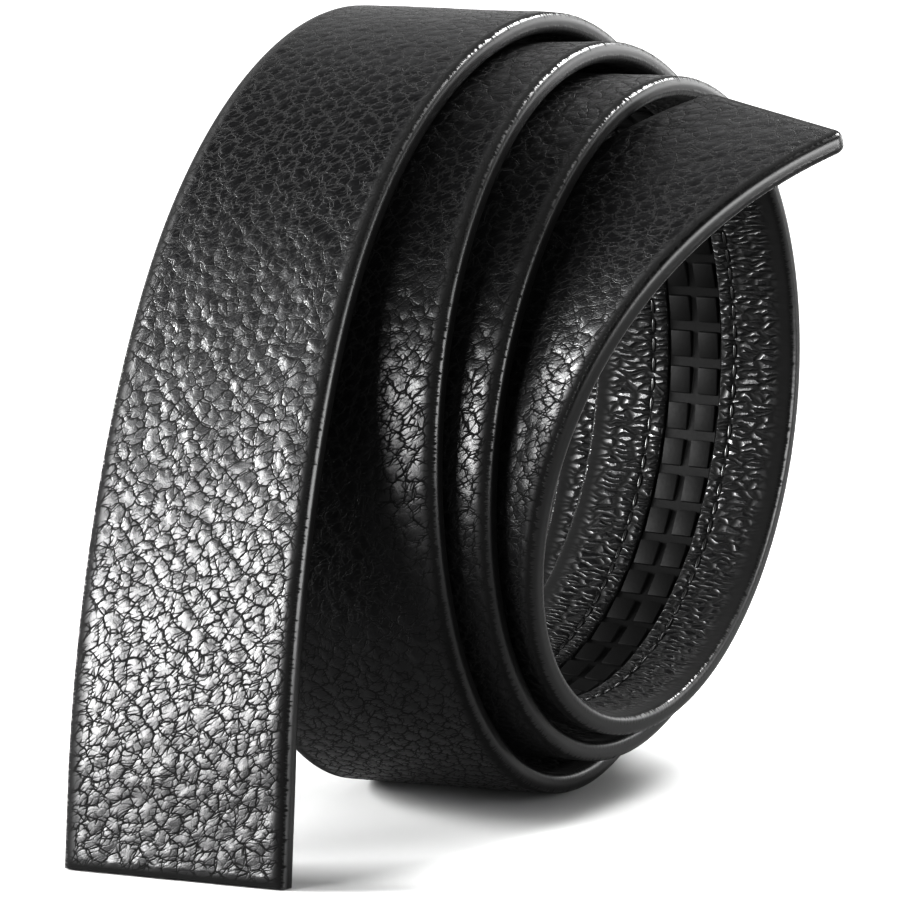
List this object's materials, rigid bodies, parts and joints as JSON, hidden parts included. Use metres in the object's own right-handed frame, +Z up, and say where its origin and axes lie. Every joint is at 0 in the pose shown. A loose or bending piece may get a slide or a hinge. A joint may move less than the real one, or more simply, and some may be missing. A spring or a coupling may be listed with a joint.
{
  "type": "ratchet belt strap",
  "caption": "Coiled black leather ratchet belt strap with a cut tail for a clamp-on buckle and a toothed track along the lining.",
  "frame": {"origin": "on the floor, under the centre of the coiled strap's box", "axes": "+X along the coil's axis towards the tip's side, +Y from the standing tail towards the back of the coil, +Z up"},
  "size_m": [0.0932, 0.141, 0.1192],
  "materials": {
    "face_leather": "black pebbled full-grain leather, semi-gloss, with glossy painted edges",
    "lining_leather": "black wrinkled lining leather, semi-gloss, with painted edges",
    "track_plastic": "black moulded nylon, satin"
  },
  "bodies": {
    "root": {"face_leather": "face_leather", "lining_leather": "lining_leather", "ratchet_track": "track_plastic"}
  },
  "joints": []
}
